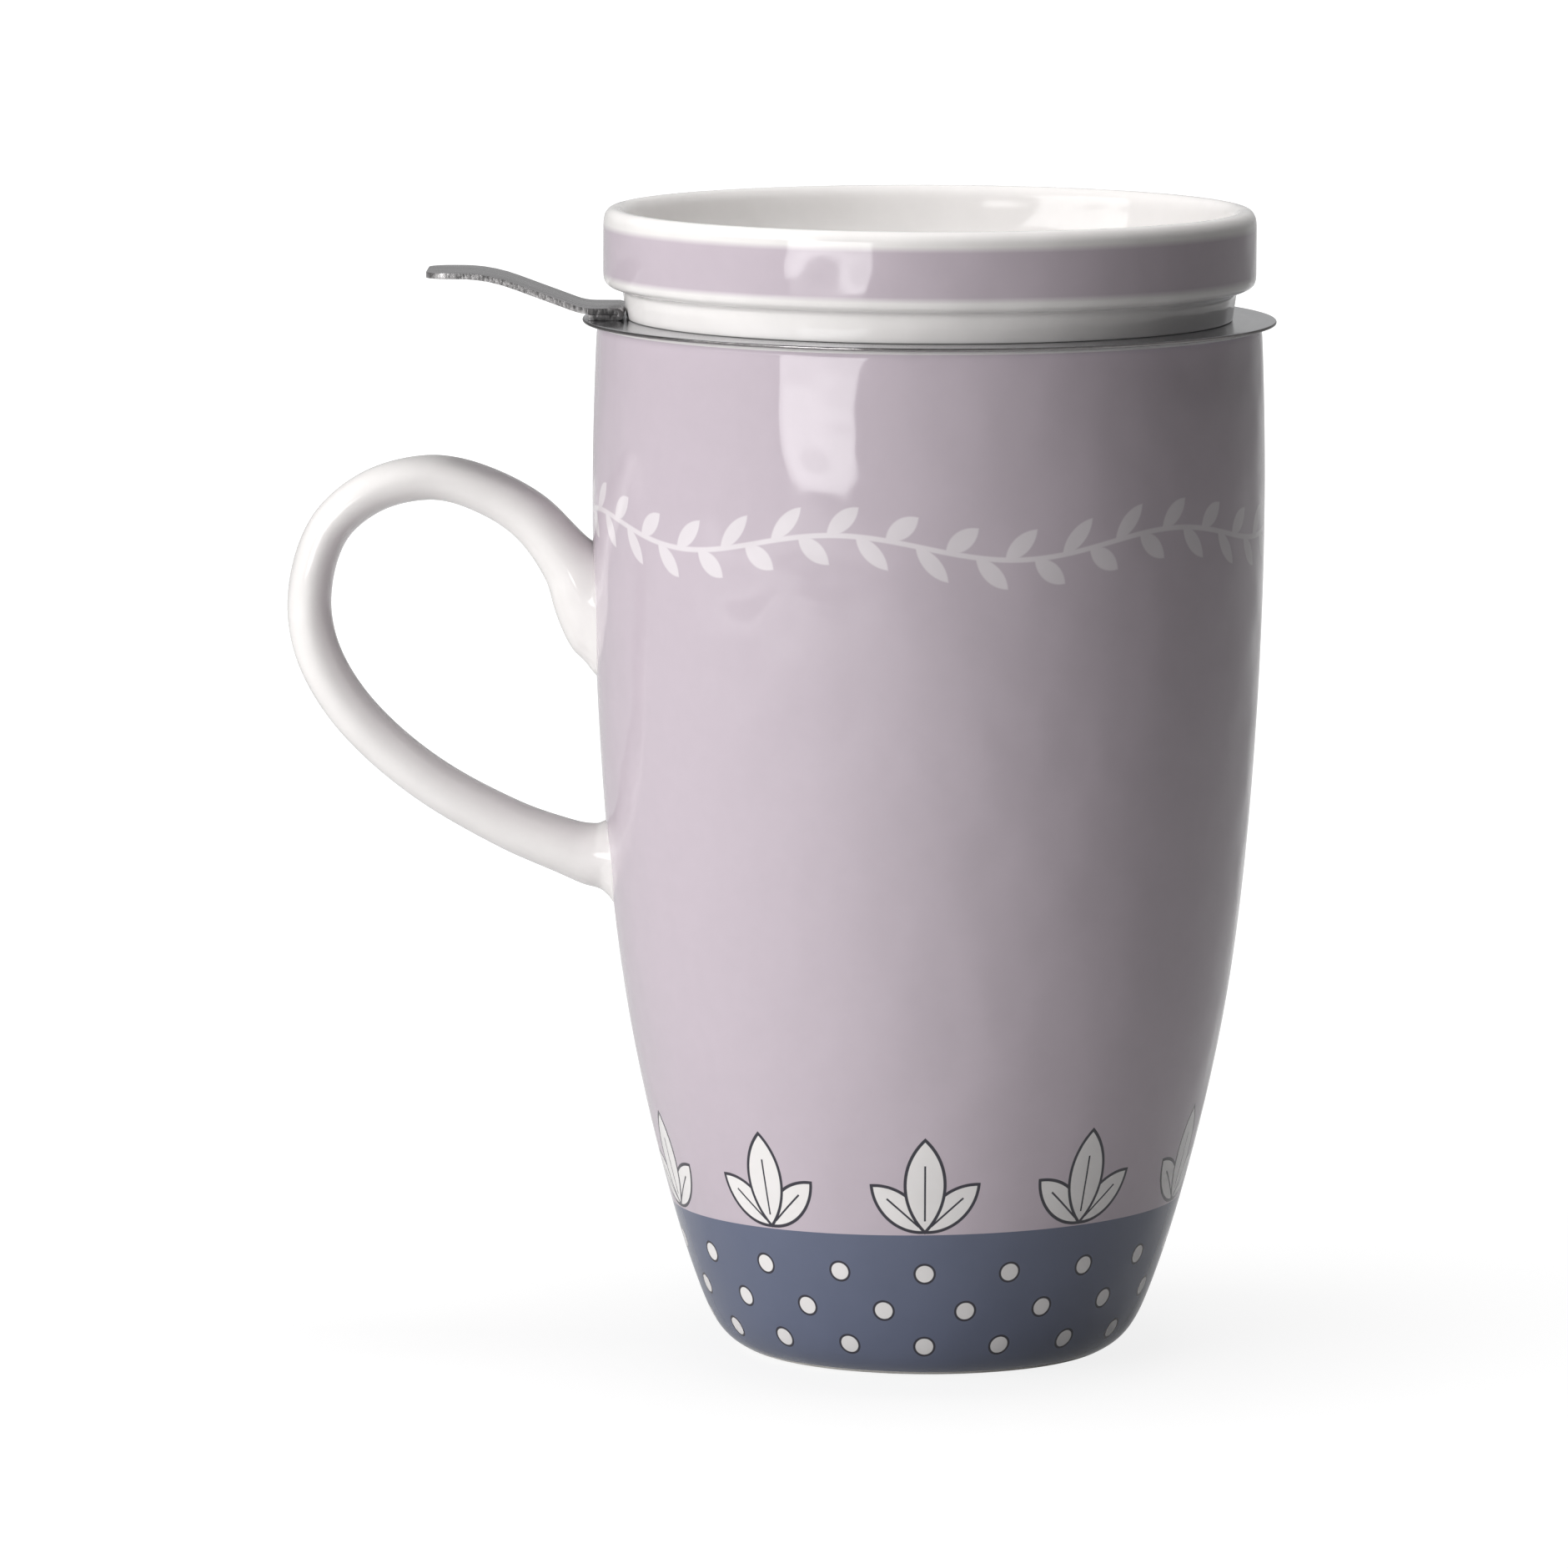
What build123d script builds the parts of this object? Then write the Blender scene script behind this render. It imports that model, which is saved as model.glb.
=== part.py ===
from build123d import *
import os
from math import cos, pi, radians, sin

# Lidded tea mug: a porcelain beaker with a luted loop handle, a steel infuser basket that
# hangs in it by a flat flange, and a porcelain lid that stands on that flange.
# Millimetres. The origin is the centre of the base on the table, +Z is up, the mug's handle
# and the infuser's handle point to -X, and the front of the mug faces -Y.

# ---- beaker -------------------------------------------------------------------------------
mug_height = 135.1        # table to the flat top of the lip
wall = 3.2                # porcelain wall
floor_thickness = 5.0     # porcelain under the tea
foot_recess = 1.5         # hollow under the base, inside the foot
foot_width = 3.5          # width of the ring that stands on the table
shoulder_radius = 43.9    # outside of the beaker at its widest
shoulder_drop = 18.0      # widest place, below the lip
# outer wall under the shoulder: how far it has drawn in from there, at a height above the table
chest_tuck, chest_height = 1.3, 75.0
waist_tuck, waist_height = 4.65, 45.0
flank_tuck, flank_height = 9.8, 22.0
heel_tuck, heel_height = 14.6, 7.0
toe_tuck, toe_height = 17.0, 2.5
foot_tuck = 20.6          # on the table
lip_tuck = 0.5            # where the lip's rounding starts
lip_rounding = 1.2        # outer and inner edges of the lip
well_rounding = 9.0       # inner floor turning up into the wall

# ---- mug handle ---------------------------------------------------------------------------
handle_reach = 40.0       # outermost point of the loop, beyond the shoulder
arm_thickness = 5.8       # in the plane of the loop, at its outermost point
arm_width = 9.0           # across that plane
upper_root_height = 97.4  # middle of the upper joint on the wall
upper_root_span = 17.4    # its height on the wall
lower_root_height = 64.0
lower_root_span = 11.4
loop_height = 50.4        # lower joint to the top of the loop, on the arm's middle line
root_width = 12.0         # both joints, across the loop's plane
root_bury = 2.5           # the arm is drawn in this far behind the chest's radius, then cut
# sections where the arm swings down along the wall: share of the reach, share of the loop's
# height, share of the joint's span and of its width, and lean of the section from upright
upper_root_stations = [
    (0.0125, 0.692, 0.805, 0.967, 18),
    (0.0475, 0.734, 0.638, 0.917, 30),
    (0.0850, 0.790, 0.454, 0.850, 43),
]
# sections square to the arm: share of the reach, share of the loop's height, and thickness
# and width as shares of the arm's own
arm_stations = [
    (0.212, 0.905, 1.138, 1.044),
    (0.392, 0.980, 1.052, 1.000),
    (0.545, 1.000, 1.017, 1.000),
    (0.728, 0.960, 0.983, 1.000),
    (0.868, 0.859, 0.966, 1.000),
    (0.9275, 0.687, 1.000, 1.000),
    (0.893, 0.528, 1.034, 1.000),
    (0.765, 0.369, 1.052, 1.011),
    (0.545, 0.216, 1.069, 1.033),
    (0.275, 0.095, 1.138, 1.089),
    (0.080, 0.034, 1.224, 1.178),
]

# ---- infuser ------------------------------------------------------------------------------
sheet = 0.5               # stainless steel sheet
flange_overhang = 1.35    # flange beyond the beaker's widest place
neck_play = 2.7           # between the neck under the flange and the inside of the lip
neck_depth = 6.0          # below the flange
neck_bend = 0.8           # bend between flange and neck, on its underside
basket_depth = 84.0       # flange to the outside of the basket's floor
basket_taper = 3.5        # radius lost from the neck to the basket's floor
pan_height = 5.0          # pressed floor, from its underside to its weld
pan_bend = 2.0            # outside corner of the pan
hole_diameter = 1.6
hole_pitch = 8.0          # between holes, along a row and from row to row
hole_margin = 4.0         # plain sheet beside the welds and bends
first_ring_holes = 6      # floor: holes in the ring nearest to the middle one
strip_thickness = 0.8     # handle strip
strip_width = 14.0
strip_corner = 3.0        # corners of its free end, in plan
strip_inner_gap = 0.4     # between the strip's welded end and the lid's collar
strip_fold = 4.4          # doubled length at the welded end, where it is folded back under itself
strip_hold = 0.25         # corner where the strip starts to rise, inside the flange's edge
strip_overhang = 20.2     # free end, beyond the flange
strip_rise = 4.5          # top of the free end above the top of the welded end
strip_rest = 8.05         # from the free end to the corner where the rise ends
strip_low_bend = 8.0      # bends at these two corners, on the strip's middle line
strip_high_bend = 21.0

# ---- lid ----------------------------------------------------------------------------------
lid_height = 14.4         # flange to the top of the lid's rim
band_ledge = 2.7          # flange showing outside the lid's band, on the radius
band_wall = 3.0
rim_rounding = 1.45       # both edges of the band's top
band_depth = 9.55         # rim to the band's lower corner
band_corner = 1.6
collar_top_drop = 1.1     # collar top below the band's lower corner
collar_corner = 0.7       # hollow corner under the band
collar_ledge = 5.7        # bare flange outside the collar's foot, on the radius
collar_flare = 0.5        # collar's top beyond its foot
locating_clearance = 0.6  # locating ring in the neck, on the radius
locating_depth = 4.0      # below the flange
locating_wall = 3.2
dish_floor = 3.2          # porcelain under the dish
dish_drop = 9.8           # rim to the dish's floor
dish_rounding = 4.0
small_rounding = 0.5      # broken porcelain edges

# ---- what follows from these --------------------------------------------------------------
shoulder_height = mug_height - shoulder_drop
chest_radius = shoulder_radius - chest_tuck
waist_radius = shoulder_radius - waist_tuck
flank_radius = shoulder_radius - flank_tuck
heel_radius = shoulder_radius - heel_tuck
toe_radius = shoulder_radius - toe_tuck
foot_radius = shoulder_radius - foot_tuck
lip_radius = shoulder_radius - lip_tuck
flange_top = mug_height + sheet
neck_bottom = mug_height - neck_depth
basket_bottom = mug_height - basket_depth
pan_top = basket_bottom + pan_height
flange_radius = shoulder_radius + flange_overhang
neck_radius = lip_radius - wall - neck_play
basket_floor_radius = neck_radius - basket_taper
band_radius = flange_radius - band_ledge
collar_foot_radius = flange_radius - collar_ledge
collar_top_radius = collar_foot_radius + collar_flare
locating_radius = neck_radius - sheet - locating_clearance
lid_top = flange_top + lid_height
root_radius = chest_radius - root_bury
punch_reach = 2 * sheet   # a punch starts and ends this far from the sheet's face
cutter_span = 400.0       # longer than anything here, for cutting tools


def in_section(*points):
    """Points (radius, height) placed in the vertical plane through the axis."""
    return [Vector(r, 0, z) for r, z in points]


def rounded(face, radius, point):
    """The face with the corner nearest to a point (radius, height) rounded."""
    target = Vector(point[0], 0, point[1])
    corner = min(face.vertices(), key=lambda v: (Vector(*v) - target).length)
    return face.fillet_2d(radius, [corner])


def outline(*points):
    """A closed face with straight sides through points (radius, height)."""
    return make_face(Polyline(*in_section(*points), close=True)).face()


def turned(face):
    """A solid of revolution about the mug's axis."""
    return revolve(face, Axis.Z).solid()


# ---- beaker -------------------------------------------------------------------------------
def outer_wall():
    """The beaker's outer line, from the edge of the foot to the lip's rounding."""
    points = in_section(
        (foot_radius, 0),
        (toe_radius, toe_height),
        (heel_radius, heel_height),
        (flank_radius, flank_height),
        (waist_radius, waist_height),
        (chest_radius, chest_height),
        (shoulder_radius, shoulder_height),
        (lip_radius, mug_height - lip_rounding),
    )
    return Spline(*points)


def inner_wall():
    """The beaker's inner line, from the floor's rounding to the lip's rounding."""
    floor_top = foot_recess + floor_thickness
    start = Vector(flank_radius - wall - well_rounding, 0, floor_top)
    points = in_section(
        (flank_radius - wall, flank_height),
        (waist_radius - wall, waist_height),
        (chest_radius - wall, chest_height),
        (shoulder_radius - wall, shoulder_height),
        (lip_radius - wall, mug_height - lip_rounding),
    )
    return Spline(start, *points, tangents=[(1, 0, 0), (0, 0, 1)])


def mug_body():
    outer = outer_wall()
    inner = inner_wall()
    lip_top = in_section(
        (lip_radius - lip_rounding, mug_height),
        (lip_radius - wall + lip_rounding, mug_height),
    )
    lip_outside = TangentArc(outer @ 1, lip_top[0], tangent=(0, 0, 1))
    lip_inside = TangentArc(inner @ 1, lip_top[1], tangent=(0, 0, 1))
    land = Line(*lip_top)
    foot_inner = foot_radius - foot_width
    base = Polyline(
        inner @ 0,
        *in_section(
            (0, foot_recess + floor_thickness),
            (0, foot_recess),
            (foot_inner, foot_recess),
            (foot_inner, 0),
            (foot_radius, 0),
        ),
    )
    face = make_face([outer, lip_outside, land, lip_inside, inner, base]).face()
    return turned(face)


def beaker_envelope():
    """The beaker with its inside filled, to cut the handle's joints to the wall."""
    outer = outer_wall()
    rest = Polyline(outer @ 1, *in_section((0, mug_height - lip_rounding), (0, 0)), outer @ 0)
    return turned(make_face([outer, rest]).face())


# ---- mug handle ---------------------------------------------------------------------------
def arm_section(centre, direction, thickness, width):
    """An oval across the arm, starting at the same side of the arm whichever way it is long."""
    plane = Plane(origin=centre, x_dir=(0, 1, 0), z_dir=direction)
    return plane * scale(Circle(0.5), by=(width, thickness, 1))


def root_section(height, direction, span):
    """The arm's first or last oval, inside the wall."""
    return arm_section(Vector(-root_radius, 0, height), direction, span, root_width)


def loop_point(reach_share, height_share):
    """A point on the arm's middle line."""
    height = lower_root_height + height_share * loop_height
    return Vector(-shoulder_radius - reach_share * handle_reach, 0, height)


def mug_handle():
    sections = [root_section(upper_root_height, (-1, 0, 0), upper_root_span)]
    for reach, height, span, width, lean in upper_root_stations:
        centre = loop_point(reach, height)
        direction = (-cos(radians(lean)), 0, sin(radians(lean)))
        sections.append(arm_section(centre, direction, span * upper_root_span, width * root_width))
    arm = [loop_point(reach, height) for reach, height, _, _ in arm_stations]
    centres = [centre, *arm, Vector(-root_radius, 0, lower_root_height)]
    for number, (_, _, thickness, width) in enumerate(arm_stations, start=1):
        along = centres[number + 1] - centres[number - 1]
        size = (thickness * arm_thickness, width * arm_width)
        sections.append(arm_section(centres[number], along, *size))
    sections.append(root_section(lower_root_height, (1, 0, 0), lower_root_span))
    return (loft(sections) - beaker_envelope()).solid()


# ---- infuser ------------------------------------------------------------------------------
def strainer_rim():
    neck_inner = neck_radius - sheet
    flat = neck_radius + neck_bend
    bend_low = mug_height - neck_bend
    under = Polyline(*in_section((neck_radius, neck_bottom), (neck_radius, bend_low)))
    under_bend = TangentArc(*in_section((neck_radius, bend_low), (flat, mug_height)), tangent=(0, 0, 1))
    edge = Polyline(
        *in_section(
            (flat, mug_height),
            (flange_radius, mug_height),
            (flange_radius, flange_top),
            (flat, flange_top),
        )
    )
    top_bend = TangentArc(*in_section((neck_inner, bend_low), (flat, flange_top)), tangent=(0, 0, 1))
    inside = Polyline(
        *in_section((neck_inner, bend_low), (neck_inner, neck_bottom), (neck_radius, neck_bottom))
    )
    return turned(make_face([under, under_bend, edge, top_bend, inside]).face())


def basket_radius(height):
    """Outer radius of the tapered basket wall at a height."""
    share = (height - pan_top) / (neck_bottom - pan_top)
    return basket_floor_radius + share * (neck_radius - basket_floor_radius)


def radial_hole(angle, height):
    """A pin that punches one hole through the basket's wall."""
    direction = Vector(cos(angle), sin(angle), 0)
    start = direction * basket_radius(height) + Vector(0, 0, height)
    return Plane(origin=start, z_dir=direction) * Cylinder(hole_diameter / 2, 2 * punch_reach)


def strainer_wall():
    shell = turned(
        outline(
            (neck_radius, neck_bottom),
            (basket_floor_radius, pan_top),
            (basket_floor_radius - sheet, pan_top),
            (neck_radius - sheet, neck_bottom),
        )
    )
    low = pan_top + hole_margin
    rows = int((neck_bottom - hole_margin - low) / hole_pitch)
    columns = int(2 * pi * basket_floor_radius / hole_pitch)
    pins = []
    for row in range(rows + 1):
        height = low + row * hole_pitch
        stagger = (row % 2) / 2
        pins += [radial_hole(2 * pi * (column + stagger) / columns, height) for column in range(columns)]
    return (shell - pins).solid()


def strainer_floor():
    inner = basket_floor_radius - sheet
    section = outline(
        (0, basket_bottom),
        (basket_floor_radius, basket_bottom),
        (basket_floor_radius, pan_top),
        (inner, pan_top),
        (inner, basket_bottom + sheet),
        (0, basket_bottom + sheet),
    )
    section = rounded(section, pan_bend, (basket_floor_radius, basket_bottom))
    section = rounded(section, pan_bend - sheet, (inner, basket_bottom + sheet))
    pan = turned(section)
    limit = inner - pan_bend - hole_margin
    punch = Pos(0, 0, basket_bottom) * Cylinder(hole_diameter / 2, 2 * punch_reach)
    pins = [punch]
    for ring in range(1, int(limit / hole_pitch) + 1):
        count = first_ring_holes * ring
        for spot in range(count):
            pins.append(Rot(0, 0, 360 * spot / count) * Pos(ring * hole_pitch, 0, 0) * punch)
    return (pan - pins).solid()


def strainer_handle():
    inner_end = -collar_foot_radius - strip_inner_gap
    outer_end = -flange_radius - strip_overhang
    rest_level = flange_top + 3 * strip_thickness / 2
    tip_level = rest_level + strip_rise
    line = FilletPolyline(
        *in_section(
            (inner_end, rest_level),
            (-flange_radius + strip_hold, rest_level),
            (outer_end + strip_rest, tip_level),
            (outer_end, tip_level),
        ),
        radius=(strip_low_bend, strip_high_bend),
    )
    start = Plane(origin=line @ 0, x_dir=(0, 1, 0), z_dir=line % 0)
    strip = sweep(start * Rectangle(strip_width, strip_thickness), path=line)
    plan = Rectangle(inner_end - outer_end, strip_width)
    plan = fillet(plan.vertices().sort_by(Axis.X)[:2], strip_corner)
    trim = Pos((inner_end + outer_end) / 2, 0, 0) * extrude(plan, cutter_span)
    fold_place = Pos(inner_end - strip_fold / 2, 0, (flange_top + rest_level) / 2)
    fold = fold_place * Box(strip_fold, strip_width, rest_level - flange_top)
    return ((strip & trim) + fold).solid()


# ---- lid ----------------------------------------------------------------------------------
def lid():
    band_low = lid_top - band_depth
    collar_top = band_low - collar_top_drop
    dish_radius = band_radius - band_wall
    dish_level = lid_top - dish_drop
    under_dish = dish_level - dish_floor
    ring_bottom = flange_top - sheet - locating_depth
    ring_inner = locating_radius - locating_wall
    section = outline(
        (0, dish_level),
        (dish_radius, dish_level),
        (dish_radius, lid_top),
        (band_radius, lid_top),
        (band_radius, band_low),
        (collar_top_radius, collar_top),
        (collar_foot_radius, flange_top),
        (locating_radius, flange_top),
        (locating_radius, ring_bottom),
        (ring_inner, ring_bottom),
        (ring_inner, under_dish),
        (0, under_dish),
    )
    section = rounded(section, rim_rounding, (dish_radius, lid_top))
    section = rounded(section, rim_rounding, (band_radius, lid_top))
    section = rounded(section, band_corner, (band_radius, band_low))
    section = rounded(section, collar_corner, (collar_top_radius, collar_top))
    section = rounded(section, dish_rounding, (dish_radius, dish_level))
    section = rounded(section, small_rounding, (locating_radius, ring_bottom))
    section = rounded(section, small_rounding, (ring_inner, ring_bottom))
    return turned(section)


PIECES = {
    "mug_body": mug_body,
    "mug_handle": mug_handle,
    "strainer_rim": strainer_rim,
    "strainer_wall": strainer_wall,
    "strainer_floor": strainer_floor,
    "strainer_handle": strainer_handle,
    "lid": lid,
}

os.makedirs("parts", exist_ok=True)
for name, make in PIECES.items():
    export_step(make(), f"parts/{name}.step")
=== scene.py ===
from math import cos, hypot, pi, radians, sin

import bpy
from mathutils import Matrix, Vector


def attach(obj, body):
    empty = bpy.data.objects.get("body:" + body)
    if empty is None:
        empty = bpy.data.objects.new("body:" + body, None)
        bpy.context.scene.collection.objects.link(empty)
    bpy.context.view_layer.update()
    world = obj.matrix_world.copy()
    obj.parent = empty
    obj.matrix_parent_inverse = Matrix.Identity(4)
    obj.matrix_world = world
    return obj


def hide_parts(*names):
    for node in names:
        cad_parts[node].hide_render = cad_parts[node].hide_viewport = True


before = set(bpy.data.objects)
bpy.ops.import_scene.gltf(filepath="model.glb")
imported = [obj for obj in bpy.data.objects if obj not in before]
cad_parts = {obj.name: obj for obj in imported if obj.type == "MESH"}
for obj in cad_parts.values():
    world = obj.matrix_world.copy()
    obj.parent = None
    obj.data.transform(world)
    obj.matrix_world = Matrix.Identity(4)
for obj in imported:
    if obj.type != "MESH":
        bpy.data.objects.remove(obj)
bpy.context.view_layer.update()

# ---- beaker -------------------------------------------------------------------------------
# A tall porcelain beaker, jiggered in a mould and turned at the foot. It is glazed white inside,
# lilac outside with a slate band at the foot, and only the ring it stands on is bare.
MM = 0.001                # metres in a millimetre; sizes below are in millimetres
AROUND = 128              # steps round the axis

FOOT_LINE = [             # radius and height of the underside, from its middle to the bare ring
    (8.0, 1.5), (15.0, 1.5), (18.9, 1.5), (19.5, 1.35), (19.8, 0.9), (19.85, 0.3), (20.1, 0.0),
    (20.6, 0.0), (22.6, 0.0), (23.2, 0.02),
]
OUTER_LINE = [            # up the outside to the lip
    (23.75, 0.17), (24.5, 0.55), (25.4, 1.1), (26.14, 1.7), (26.9, 2.5), (27.62, 3.5), (28.3, 4.7),
    (28.89, 6.0), (29.5, 7.5), (30.25, 9.5), (31.13, 12.0), (32.1, 15.0), (33.13, 18.5),
    (34.1, 22.0), (35.4, 27.0), (36.84, 33.0), (38.33, 40.0), (39.58, 47.0), (40.73, 55.0),
    (41.8, 65.0), (42.6, 75.0), (43.21, 85.0), (43.65, 95.0), (43.89, 105.0), (43.93, 112.0),
    (43.89, 118.0), (43.76, 124.0), (43.6, 129.0), (43.48, 132.0), (43.4, 133.8),
]
LIP_LINE = [              # over the lip
    (43.3, 134.35), (43.0, 134.8), (42.6, 135.05), (42.1, 135.1), (41.5, 135.1), (41.0, 135.05),
    (40.6, 134.8), (40.3, 134.35),
]
INNER_LINE = [            # down the inside to the middle of the floor
    (40.2, 133.6), (40.2, 130.0), (40.26, 125.0), (40.78, 115.0), (40.66, 105.0), (40.32, 95.0),
    (39.89, 85.0), (39.4, 75.0), (38.81, 65.0), (37.84, 55.0), (36.5, 47.0), (34.74, 40.0),
    (32.85, 33.0), (31.57, 27.0), (30.9, 22.0), (30.64, 19.0), (30.34, 16.0), (29.8, 13.0),
    (29.13, 11.0), (28.32, 9.5), (27.17, 8.2), (26.01, 7.4), (24.8, 6.9), (23.4, 6.6), (21.9, 6.5),
    (16.0, 6.5), (8.0, 6.5),
]


def pick(piece):
    """Leaves one piece selected and active."""
    bpy.ops.object.select_all(action="DESELECT")
    piece.select_set(True)
    bpy.context.view_layer.objects.active = piece


def leave_facing_out():
    """Points every face outwards and leaves edit mode."""
    bpy.ops.mesh.select_all(action="SELECT")
    bpy.ops.mesh.normals_make_consistent(inside=False)
    bpy.ops.object.mode_set(mode="OBJECT")


def soften(piece):
    """Subdivides a piece's surface once and shades it smooth."""
    pick(piece)
    smoothing = piece.modifiers.new("smoothing", "SUBSURF")
    smoothing.levels = smoothing.render_levels = 1
    bpy.ops.object.modifier_apply(modifier=smoothing.name)
    bpy.ops.object.shade_smooth()


def grow_rings(line):
    """Draws the selected ring, which is a line's first, on through the others."""
    radius, height = line[0]
    for next_radius, next_height in line[1:]:
        rise = (next_height - height) * MM
        bpy.ops.mesh.extrude_region_move(TRANSFORM_OT_translate={"value": (0, 0, rise)})
        growth = next_radius / radius
        bpy.ops.transform.resize(
            value=(growth, growth, 1), center_override=(0, 0, next_height * MM)
        )
        radius, height = next_radius, next_height


def draw_rings(name, line, around):
    """A circle drawn out and up ring by ring; left in edit mode with its last ring selected."""
    bpy.ops.object.select_all(action="DESELECT")
    radius, height = line[0]
    bpy.ops.mesh.primitive_circle_add(
        vertices=around, radius=radius * MM, location=(0, 0, height * MM)
    )
    piece = bpy.context.active_object
    piece.name = piece.data.name = name
    bpy.ops.object.transform_apply(location=True)
    bpy.ops.object.mode_set(mode="EDIT")
    bpy.ops.mesh.select_all(action="SELECT")
    grow_rings(line)
    return piece


def turn_up(name, line):
    """A turned solid: rings from the middle of its underside round to the middle of its top."""
    piece = draw_rings(name, line, AROUND)
    bpy.ops.object.mode_set(mode="OBJECT")
    soften(piece)
    bpy.ops.object.mode_set(mode="EDIT")
    bpy.ops.mesh.select_all(action="SELECT")
    bpy.ops.mesh.fill_holes(sides=0)
    leave_facing_out()
    return piece


def paint_faces(piece, number, wanted):
    """Gives a piece's faces that pass a test on centre and normal one of its materials."""
    for face in piece.data.polygons:
        if wanted(face.center, face.normal):
            face.material_index = number


def from_axis(point):
    """Distance of a point from the axis."""
    return hypot(point.x, point.y)


def feed(tree, socket, value):
    """Links an output to a socket, or sets a number or a colour on it."""
    if isinstance(value, bpy.types.NodeSocket):
        tree.links.new(value, socket)
    elif socket.type == "RGBA":
        socket.default_value = (*value, 1)
    else:
        socket.default_value = value


def calc(tree, operation, *values):
    """One Math node fed by sockets or numbers; returns its output."""
    node = tree.nodes.new("ShaderNodeMath")
    node.operation = operation
    for socket, value in zip(node.inputs, values):
        feed(tree, socket, value)
    return node.outputs[0]


def length_of(tree, first, second):
    """Length of the vector with these two parts."""
    squares = (calc(tree, "MULTIPLY", part, part) for part in (first, second))
    return calc(tree, "SQRT", calc(tree, "ADD", *squares))


def past_strip(tree, value, half_width):
    """How far a value lies outside a strip about zero, on either side; negative within it."""
    return calc(tree, "SUBTRACT", calc(tree, "ABSOLUTE", value), half_width)


def inside_of(tree, distance, edge=0.05):
    """1 where a signed distance in millimetres is negative, 0 outside, with a thin soft edge."""
    scaled = calc(tree, "MULTIPLY", distance, -1 / edge)
    node = tree.nodes.new("ShaderNodeClamp")
    tree.links.new(calc(tree, "ADD", scaled, 0.5), node.inputs["Value"])
    return node.outputs[0]


def blend_colour(tree, share, under, over):
    """Lays one colour over another by a share."""
    node = tree.nodes.new("ShaderNodeMix")
    node.data_type = "RGBA"
    tree.links.new(share, node.inputs["Factor"])
    feed(tree, node.inputs[6], under)
    feed(tree, node.inputs[7], over)
    return node.outputs[2]


def shaded(tree, colour, shade):
    """A colour made lighter or darker all through."""
    node = tree.nodes.new("ShaderNodeVectorMath")
    node.operation = "SCALE"
    feed(tree, node.inputs[0], colour)
    tree.links.new(shade, node.inputs["Scale"])
    return node.outputs[0]


def object_place(tree):
    """Sockets of the place, of x, y and z in millimetres, and of the angle round the axis."""
    place = tree.nodes.new("ShaderNodeTexCoord").outputs["Object"]
    split = tree.nodes.new("ShaderNodeSeparateXYZ")
    tree.links.new(place, split.inputs[0])
    x, y, z = (calc(tree, "MULTIPLY", split.outputs[axis], 1 / MM) for axis in range(3))
    return place, x, y, z, calc(tree, "ARCTAN2", y, x)


def noise(tree, place, scale, detail, stretch=None):
    """A noise value about 0.5 over object coordinates."""
    node = tree.nodes.new("ShaderNodeTexNoise")
    node.inputs["Scale"].default_value = scale
    node.inputs["Detail"].default_value = detail
    if stretch:
        mapping = tree.nodes.new("ShaderNodeMapping")
        mapping.inputs["Scale"].default_value = stretch
        tree.links.new(place, mapping.inputs["Vector"])
        place = mapping.outputs["Vector"]
    tree.links.new(place, node.inputs["Vector"])
    return node.outputs["Fac"]


def emboss(tree, shader, height, strength, depth):
    """Lets a pattern stand up from a shader's surface by a depth in metres."""
    bump = tree.nodes.new("ShaderNodeBump")
    bump.inputs["Strength"].default_value = strength
    bump.inputs["Distance"].default_value = depth
    tree.links.new(height, bump.inputs["Height"])
    tree.links.new(bump.outputs[0], shader.inputs["Normal"])


def new_material(name):
    """A new material with its node tree and its shader."""
    material = bpy.data.materials.new(name)
    material.use_nodes = True
    return material, material.node_tree, material.node_tree.nodes["Principled BSDF"]


# noise scales are waves to a metre, each followed by what the noise does
MOTTLES, MOTTLING = 420, 0.05             # spread of the colour's lightness
POLISH, POLISH_SPREAD = 90, 0.06          # spread of the roughness
WAVES, WAVINESS, WAVE_DEPTH = 85, 0.48, 0.001
GLAZE_ROUGHNESS, GLAZE_IOR = 0.07, 1.52


def glaze(name, colour_of):
    """Fired clear glaze over a colour: near mirror-smooth, a little wavy, with faint mottling."""
    material, tree, shader = new_material(name)
    place, x, y, z, angle = object_place(tree)
    colour = colour_of(tree, place, x, y, z, angle)
    mottling = noise(tree, place, MOTTLES, 3)
    shade = calc(tree, "MULTIPLY_ADD", mottling, MOTTLING, 1 - MOTTLING / 2)
    tree.links.new(shaded(tree, colour, shade), shader.inputs["Base Color"])
    polish = noise(tree, place, POLISH, 2)
    smoothest = GLAZE_ROUGHNESS - POLISH_SPREAD / 2
    gloss = calc(tree, "MULTIPLY_ADD", polish, POLISH_SPREAD, smoothest)
    tree.links.new(gloss, shader.inputs["Roughness"])
    shader.inputs["IOR"].default_value = GLAZE_IOR
    emboss(tree, shader, noise(tree, place, WAVES, 1), WAVINESS, WAVE_DEPTH)
    return material


WHITE = (0.775, 0.752, 0.742)
POOLED_WHITE = (0.755, 0.735, 0.705)      # where the white glaze has run together
POOLS, POOLING = 40, 0.3
LILAC = (0.505, 0.440, 0.490)
PALE_LILAC = (0.68, 0.635, 0.66)          # thin white print, through which the ground shows
SLATE = (0.113, 0.130, 0.195)
INK = (0.035, 0.033, 0.045)
BAND_TOP = 20.15          # slate band's upper edge; the transfer sits a hair askew
BAND_SLOPE = 0.0175
DOT_ROWS = [(4.6, 28.2, 0.0), (9.6, 30.3, 0.5), (14.8, 32.0, 0.0)]     # height, radius, shift
DOTS_AROUND = 18
DOT_RADIUS, DOT_RING = 1.45, 0.3          # the ring of ink lies inside the dot's radius
SPRIGS_AROUND = 10
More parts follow.
